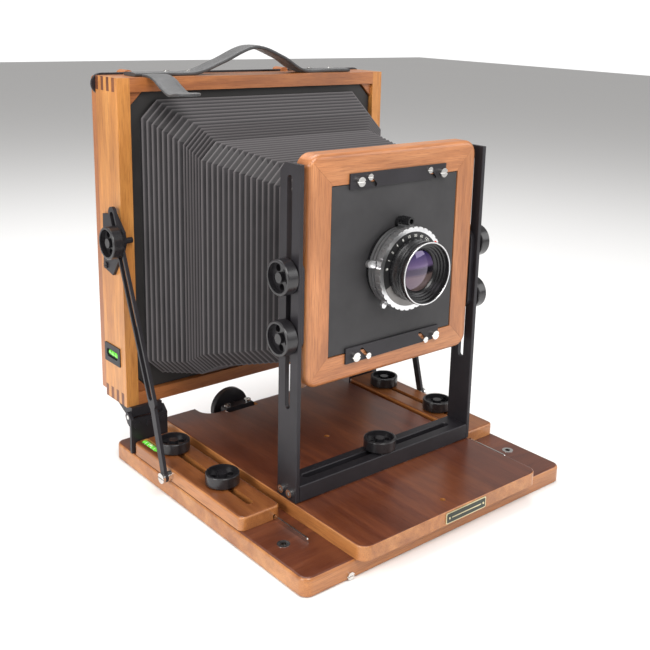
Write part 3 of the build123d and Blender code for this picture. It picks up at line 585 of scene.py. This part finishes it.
def ring_frame(name, outer, inner, front, back, material, body, corner_out, corner_in, bevel=0.6):
    """A flat ring with cut corners; outer and inner are (half width, top, bottom) in millimetres."""
    def loop(shape, cut, y):
        half, top, low = shape
        pts = [(-half, low + cut), (-half, top - cut), (-half + cut, top), (half - cut, top)]
        pts += [(half, top - cut), (half, low + cut), (half - cut, low), (-half + cut, low)]
        return [Vector((px * MM, y * MM, pz * MM)) for px, pz in pts]
    verts = loop(outer, corner_out, front) + loop(inner, corner_in, front)
    verts += loop(inner, corner_in, back) + loop(outer, corner_out, back)
    faces = []
    for ring in range(4):
        for i in range(8):
            j = (i + 1) % 8
            nxt = (ring + 1) % 4
            faces.append((ring * 8 + i, ring * 8 + j, nxt * 8 + j, nxt * 8 + i))
    made = mesh_piece(name, verts, faces, material, body)
    tidy_normals(made, 0.3)
    add_bevel(made, bevel)
    return made


def add_bevel(made, width, segments=2):
    """Rounds a piece's edges; the width is in millimetres."""
    mod = made.modifiers.new("edges", "BEVEL")
    mod.width = width * MM
    mod.segments = segments
    mod.limit_method = "ANGLE"
    mod.angle_limit = 0.6
    return made


mount = ring_frame("bellows_mount_frame", (138.0, 345.4, 71.4), (128.0, 338.0, 86.0), 125.0, 130.0,
                   frame_cloth, "rear_frame", 13.0, 17.0)


# ---- straps -----------------------------------------------------------------------------------
def smooth_path(points, count):
    """Evenly spaced points on a soft curve through the given ones."""
    path = []
    n = len(points)
    for i in range(n - 1):
        p0 = Vector(points[max(i - 1, 0)])
        p1 = Vector(points[i])
        p2 = Vector(points[i + 1])
        p3 = Vector(points[min(i + 2, n - 1)])
        for k in range(24):
            t = k / 24
            path.append(0.5 * ((2 * p1) + (p2 - p0) * t + (2 * p0 - 5 * p1 + 4 * p2 - p3) * t * t
                               + (3 * p1 - p0 - 3 * p2 + p3) * t ** 3))
    path.append(Vector(points[-1]))
    lengths = [0.0]
    for a, b in zip(path, path[1:]):
        lengths.append(lengths[-1] + (b - a).length)
    out = []
    j = 0
    for k in range(count + 1):
        want = lengths[-1] * k / count
        while j < len(path) - 2 and lengths[j + 1] < want:
            j += 1
        span = max(lengths[j + 1] - lengths[j], 1e-12)
        out.append(path[j].lerp(path[j + 1], min(1.0, (want - lengths[j]) / span)))
    return out


def strap(name, points, across, width, thickness, material, body, round_ends=(False, True), count=90,
          crown=0.25):
    """A leather strap along a line, with rounded edges, a slightly crowned face and rounded ends."""
    path = smooth_path(points, count)
    side = Vector(across).normalized()
    total = sum((b - a).length for a, b in zip(path, path[1:]))
    verts = []
    faces = []
    run = 0.0
    loops = []
    for i, p in enumerate(path):
        if i:
            run += (p - path[i - 1]).length
        along = (path[min(i + 1, count)] - path[max(i - 1, 0)]).normalized()
        up = side.cross(along).normalized()
        if up.z < 0 and abs(up.z) > 0.2:
            up = -up
        half = width / 2
        for flag, gone in zip(round_ends, (run, total - run)):
            if flag and gone < half:
                half = math.sqrt(max(half * half - (half - gone) ** 2, (0.12 * half) ** 2))
        loop = []
        section = [(-1.0, 0.0), (-0.985, 0.3), (-0.94, 0.46), (-0.86, 0.5), (-0.84, 0.44), (-0.8, 0.5)]
        section += [(-0.4, 0.5 + crown * 0.5)]
        section += [(0.0, 0.5 + crown * 0.6)] + [(-a, b) for a, b in reversed(section[:7])]
        section += [(0.985, -0.3), (0.94, -0.46), (0.5, -0.5), (0.0, -0.5), (-0.5, -0.5)]
        section += [(-0.94, -0.46), (-0.985, -0.3)]
        for a, b in section:
            loop.append(len(verts))
            verts.append(p + side * (a * half) + up * (b * thickness))
        loops.append(loop)
    for a, b in zip(loops, loops[1:]):
        n = len(a)
        for k in range(n):
            faces.append((a[k], a[(k + 1) % n], b[(k + 1) % n], b[k]))
    faces.append(tuple(reversed(loops[0])))
    faces.append(tuple(loops[-1]))
    made = mesh_piece(name, verts, faces, material, body, True)
    tidy_normals(made, 0.9)
    return made


handle_low, handle_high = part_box("carry_handle")
handle_y = (handle_low[1] + handle_high[1]) / 2
# (x, height above the frame's top) in millimetres
handle_line = [(-129, 0.0), (-98, 0.0), (-66, 0.5), (-38, 10.0), (-2, 23.2), (30, 14.0), (56, 0.6)]
handle_line += [(86, 0.0), (114.5, 0.0)]
handle_rise = 359.75        # height of the strap's middle where it lies flat on the frame
handle = strap("leather_handle", [(x * MM, handle_y, (handle_rise + z) * MM) for x, z in handle_line],
               (0, 1, 0), 21.6 * MM, 3.0 * MM, strap_leather, "rear_frame", (False, False), 150)
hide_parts("carry_handle")

strap_low, strap_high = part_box("closure_strap")
strap_mid = (strap_low[0] + strap_high[0]) / 2
strap_back, strap_tip = strap_high[1], strap_low[1]
strap_top = strap_high[2]
# (y, height) in metres; the points at 0.096 and 0.084 suit a strap that droops 16 mm
strap_line = [(strap_back, strap_top - 0.0014), (strap_back - 0.009, strap_top - 0.0015)]
strap_line += [(0.108, strap_top - 0.0042), (0.096, strap_top - 0.0105), (0.084, strap_top - 0.0148)]
strap_line += [(0.072, strap_low[2] + 0.0012), (strap_tip, strap_low[2] + 0.0014)]
closure = strap("leather_closure_strap", [(strap_mid, y, z) for y, z in strap_line],
                (1, 0, 0), 22.6 * MM, 2.3 * MM, strap_leather, "rear_frame", (False, True), 90, 0.15)
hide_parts("closure_strap")


# ---- small hardware ---------------------------------------------------------------------------
def rivet(name, place, radius, height, body, material=None, axis="z"):
    """A domed rivet or screw head that stands up along an axis."""
    profile = [(radius, 0.0), (radius, height * 0.35), (radius * 0.86, height * 0.72)]
    profile += [(radius * 0.5, height * 0.95), (0.001, height)]
    made = lathe(name, profile, place, material or bright_steel, body, 32, axis)
    return made


for i, x in enumerate((-92.5, -70.0, 70.0, 96.0)):
    rivet(f"handle_rivet_{i + 1}", (x * MM, handle_y, (handle_rise + 1.9) * MM), 2.6, 1.3, "rear_frame")


# ---- name plate -------------------------------------------------------------------------------
bed_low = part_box("focusing_board")[0]
plate_green = metal("plate_enamel", (0.028, 0.035, 0.026), 0.35, 0.2, 900.0, 0.06, 0.04)
plate_gold = metal("plate_gold", (0.62, 0.56, 0.36), 0.32, 1.0, 700.0, 0.06, 0.04)
plate_mid = (10.0, 22.0)


def rounded_slab(name, half_w, half_h, corner, front, back, centre, material, body, bevel=0.25):
    """A flat plate with rounded corners that faces the lens side. Sizes in millimetres."""
    outline = []
    for quarter, (sx, sz) in enumerate(((1, 1), (-1, 1), (-1, -1), (1, -1))):
        for k in range(7):
            a = math.radians(90 * quarter + 15 * k)
            across = sx * (half_w - corner) + corner * math.cos(a)
            outline.append((across, sz * (half_h - corner) + corner * math.sin(a)))
    count = len(outline)
    verts = [Vector(((centre[0] + x) * MM, y * MM, (centre[1] + z) * MM))
             for y in (front, back) for x, z in outline]
    faces = [tuple(range(count)), tuple(reversed(range(count, 2 * count)))]
    faces += [(i, (i + 1) % count, count + (i + 1) % count, count + i) for i in range(count)]
    made = mesh_piece(name, verts, faces, material, body)
    tidy_normals(made, 0.5)
    add_bevel(made, bevel)
    return made


face_y = bed_low[1] / MM
plate = rounded_slab("maker_plate_border", 24.0, 5.0, 1.6, face_y - 0.7, face_y + 0.4,
                     plate_mid, plate_gold, "focusing_bed")
field = rounded_slab("maker_plate_field", 22.9, 4.0, 1.0, face_y - 0.95, face_y - 0.2,
                     plate_mid, plate_green, "focusing_bed", 0.12)
line = rounded_slab("maker_plate_bar", 17.5, 0.5, 0.45, face_y - 1.15, face_y - 0.5,
                    plate_mid, plate_gold, "focusing_bed", 0.12)
for i, x in enumerate((-20.2, 20.2)):
    pin_place = ((plate_mid[0] + x) * MM, (face_y - 0.9) * MM, plate_mid[1] * MM)
    rivet(f"maker_plate_pin_{i + 1}", pin_place, 1.0, -0.6, "focusing_bed", plate_gold, "y")

# ---- back bar ---------------------------------------------------------------------------------
bar = rounded_slab("back_latch_bar", 155.4, 9.5, 9.2, 160.15, 162.4, (0.6, 350.4), black_metal,
                   "rear_frame", 0.5)

# ---- levels -----------------------------------------------------------------------------------
vial_green, vial_tree, vial_shader = new_material("vial_green_liquid")
drift = noise(vial_tree, coordinates(vial_tree), 160.0, 3.0, 0.5)
vial_tone = ramp(vial_tree, drift, [(0.3, (0.10, 0.62, 0.03)), (0.7, (0.22, 0.85, 0.08))])
vial_tree.links.new(vial_tone, vial_shader.inputs["Base Color"])
vial_shader.inputs["Roughness"].default_value = 0.06
vial_shader.inputs["Coat Weight"].default_value = 0.6
# painted light: a faint green emission makes the vial liquid glow as if lit through
vial_shader.inputs["Emission Color"].default_value = (0.16, 0.8, 0.06, 1.0)
vial_shader.inputs["Emission Strength"].default_value = 0.15
paint(vial_green, "block_level")
mark_white = metal("mark_white", (0.78, 0.78, 0.74), 0.4, 0.0, 900.0, 0.05, 0.02)
bubble_pale = metal("bubble_pale", (0.72, 0.95, 0.55), 0.1, 0.0, 500.0, 0.04, 0.01, 0.8)


def vial(name, place, radius, half, body, axis):
    """A capped tube with two marker rings."""
    profile = [(0.01, -half), (radius * 0.6, -half + 0.35), (radius * 0.9, -half + 1.2)]
    profile += [(radius, -half + 2.2)]
    profile += [(r, -a) for r, a in reversed(profile)]
    made = lathe(name, profile, place, vial_green, body, 40, axis)
    for i, along in enumerate((-3.4, 3.4)):
        band = [(radius + 0.02, along - 0.3), (radius + 0.14, along - 0.2)]
        band += [(radius + 0.14, along + 0.2), (radius + 0.02, along + 0.3)]
        ring = lathe(f"{name}_mark_{i + 1}", band, place, black_metal, body, 40, axis)
    return made


level_low, level_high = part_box("frame_level")
level_mid = [(a + b) / 2 for a, b in zip(level_low, level_high)]
vial("frame_vial", (level_low[0] + 0.0042, level_mid[1], level_mid[2]), 3.7, 9.8, "rear_frame", "y")
block_low, block_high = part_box("block_level")
block_mid = [(a + b) / 2 for a, b in zip(block_low, block_high)]
for i, along in enumerate((-7.5, -2.8, 2.8, 7.5)):
    band = [(3.72, along - 0.35), (3.84, along - 0.25), (3.84, along + 0.25), (3.72, along + 0.35)]
    ring = lathe(f"block_vial_mark_{i + 1}", band, block_mid, bubble_pale, "rear_carriage", 40, "y")
bubble_profile = [(0.01, -2.4), (1.6, -2.1), (2.2, -0.8), (2.2, 0.8), (1.6, 2.1), (0.01, 2.4)]
bubble = lathe("block_vial_bubble", bubble_profile,
               (block_mid[0], block_mid[1], block_mid[2] + 0.0018), bubble_pale, "rear_carriage", 32, "y")

# ---- lens -------------------------------------------------------------------------------------
axis_low, axis_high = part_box("front_barrel")
lens_x = (axis_low[0] + axis_high[0]) / 2
lens_z = (axis_low[2] + axis_high[2]) / 2
lens_centre = (lens_x, 0.0, lens_z)
outer = [(25.6, -91.0), (26.0, -93.0), (25.7, -96.5), (25.2, -99.0), (25.3, -101.0), (26.3, -103.5)]
outer += [(26.4, -108.4), (26.1, -109.0)]
inner = [(25.0, -109.0), (24.5, -108.6), (24.5, -105.6), (23.2, -105.2), (22.9, -103.6), (21.4, -103.2)]
inner += [(21.1, -101.8)]
inner += [(19.8, -101.4), (19.4, -100.2), (18.2, -99.6), (17.4, -98.2), (16.9, -97.4), (16.9, -91.0)]
barrel = lathe("lens_hood_barrel", outer + inner, lens_centre, black_lens, "lens_panel", 128)
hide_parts("front_barrel")
rim_profile = [(26.15, -108.95), (26.0, -109.12), (25.2, -109.12), (25.05, -108.95)]
rim = lathe("lens_rim_edge", rim_profile, lens_centre, pale_alloy, "lens_panel", 128)


def reflection_painted_glass(name, low_reflection_tint, high_reflection_tint, band, span):
    """Dark glass with a painted reflection: its colour shifts from a low tint through a dark band to a high
    tint up the lens.
    """
    made, tree, shader = new_material(name)
    parts = tree.nodes.new("ShaderNodeSeparateXYZ")
    tree.links.new(coordinates(tree, (1.0, 1.0, 1.0), (0.0, 0.0, -lens_z)), parts.inputs["Vector"])
    height = spread(tree, parts.outputs["Z"], 0.0, 1.0, -span, span)
    # painted reflection: the low and high tints stand in for coloured reflections in the glass, fixed in
    # object coordinates
    stops = [(0.0, low_reflection_tint), (0.34, low_reflection_tint), (0.44, band), (0.56, band), (0.66, high_reflection_tint)]
    tone = ramp(tree, height, stops + [(1.0, (0.03, 0.02, 0.10))])
    tree.links.new(tone, shader.inputs["Base Color"])
    film = noise(tree, coordinates(tree), 300.0, 2.0, 0.5)
    tree.links.new(spread(tree, film, 0.015, 0.05), shader.inputs["Roughness"])
    shader.inputs["IOR"].default_value = 1.7
    shader.inputs["Specular Tint"].default_value = (0.75, 0.55, 1.0, 1.0)
    shader.inputs["Coat Weight"].default_value = 0.5
    shader.inputs["Coat Roughness"].default_value = 0.02
    return made


def cap(name, radius, sag, front, material, direction=-1.0, steps=14):
    """A shallow dome of glass; sag is its height in millimetres."""
    profile = []
    for k in range(steps + 1):
        r = radius * k / steps
        profile.append((max(r, 0.01), front - direction * -sag * (1.0 - (r / radius) ** 2)))
    made = lathe(name, profile, lens_centre, material, "lens_panel", 96)
    return made


glass_r = 16.9
# front lens: painted amber reflection low and purple high; rear lens: painted bluish reflection
front_glass_painted_reflection = reflection_painted_glass("front_lens_painted_reflection", (0.10, 0.07, 0.065), (0.11, 0.075, 0.16),
                          (0.006, 0.005, 0.008), 0.0145)
rear_glass_painted_reflection = reflection_painted_glass("rear_lens_painted_reflection", (0.04, 0.05, 0.09), (0.05, 0.06, 0.12),
                         (0.01, 0.01, 0.02), 0.02)
front_glass = cap("front_glass_dome", glass_r, 2.6, -98.4, front_glass_painted_reflection)
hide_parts("lens_glass")
cap("rear_glass_dome", glass_r, 2.2, -42.0, rear_glass_painted_reflection, 1.0)

# dial face on the speed ring, with its numbers
dial_black = metal("dial_black", (0.012, 0.012, 0.013), 0.4, 0.0, 900.0, 0.06, 0.03)
dial_grey = metal("dial_grey", (0.23, 0.22, 0.215), 0.42, 0.4, 900.0, 0.06, 0.03)
dial_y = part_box("speed_ring")[0][1] / MM


def dial_arc(name, inner_r, outer_r, start, end, y, material, steps=96):
    """A flat arc of a dial, seen from the lens side; angles are anticlockwise from the right."""
    verts = []
    faces = []
    for k in range(steps + 1):
        a = math.radians(start + (end - start) * k / steps)
        for r, depth in ((inner_r, 0.3), (inner_r, 0.0), (outer_r, 0.0), (outer_r, 0.3)):
            x, z = r * math.cos(a) * MM, r * math.sin(a) * MM
            verts.append(Vector((x + lens_x, (y + depth) * MM, lens_z + z)))
    for k in range(steps):
        for j in range(3):
            faces.append((4 * k + j, 4 * k + j + 1, 4 * k + j + 5, 4 * k + j + 4))
    made = mesh_piece(name, verts, faces, material, "speed_ring")
    tidy_normals(made, 0.5)
    return made


dial_arc("speed_dial", 24.6, 31.2, 0.0, 360.0, dial_y - 0.12, dial_black, 180)
dial_arc("speed_dial_lower", 25.4, 31.0, 205.0, 318.0, dial_y - 0.24, dial_grey)


def number(text, angle, radius, size, y, body, material, name):
    """A number on a dial, its foot towards the middle, cut to a thin mesh."""
    curve = bpy.data.curves.new(name, "FONT")
    curve.body = text
    curve.size = size * MM
    curve.align_x = "CENTER"
    curve.align_y = "CENTER"
    curve.extrude = 0.06 * MM
    curve.resolution_u = 3
    shape = bpy.data.objects.new(name + "_curve", curve)
    bpy.context.collection.objects.link(shape)
    bpy.context.view_layer.update()
    data = bpy.data.meshes.new_from_object(shape.evaluated_get(bpy.context.evaluated_depsgraph_get()))
    bpy.data.objects.remove(shape)
    a = math.radians(angle)
    turn_in = Matrix.Rotation(a - math.pi / 2, 4, "Z")
    upright = Matrix.Rotation(math.pi / 2, 4, "X")
    x, z = radius * math.cos(a) * MM, radius * math.sin(a) * MM
    place = Matrix.Translation((lens_x + x, y * MM, lens_z + z))
    data.transform(place @ upright @ turn_in)
    data.materials.clear()
    data.materials.append(material)
    made = bpy.data.objects.new(name, data)
    bpy.context.collection.objects.link(made)
    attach(made, body)
    return made


for i, text in enumerate(("B", "1", "2", "4", "8", "15", "30", "60", "125", "250", "400")):
    number(text, 172.0 - i * 14.6, 27.9, 3.3, dial_y - 0.2, "speed_ring", mark_white, f"speed_number_{i + 1}")
for i, (text, angle) in enumerate((("5.6", 122.0), ("150", 98.0))):
    number(text, angle, 23.6, 2.6, -102.6, "lens_panel", mark_white, f"barrel_number_{i + 1}")
red_dot = metal("red_enamel", (0.75, 0.04, 0.02), 0.35, 0.0, 900.0, 0.05, 0.02)
dot_r = 32.4
dot_angle = 0.62
dot_place = (lens_x + dot_r * math.cos(dot_angle) * MM, (dial_y - 0.05) * MM,
             lens_z + dot_r * math.sin(dot_angle) * MM)
dot = lathe("speed_index_dot", [(0.01, -0.7), (0.9, -0.55), (1.3, 0.0)], dot_place, red_dot, "speed_ring", 24)


# ---- finish -----------------------------------------------------------------------------------
floor_data = bpy.data.meshes.new("floor")
reach = 6.0
floor_corners = [(-reach, -reach, 0), (reach, -reach, 0), (reach, reach, 0), (-reach, reach, 0)]
floor_data.from_pydata(floor_corners, [], [(0, 1, 2, 3)])
floor = bpy.data.objects.new("floor", floor_data)
bpy.context.collection.objects.link(floor)
floor_material, _, floor_shader = new_material("floor_white")
floor_shader.inputs["Base Color"].default_value = (0.92, 0.92, 0.92, 1.0)
floor_shader.inputs["Roughness"].default_value = 0.6
floor_data.materials.append(floor_material)
floor.location.z = cad_low[2] - 0.0005
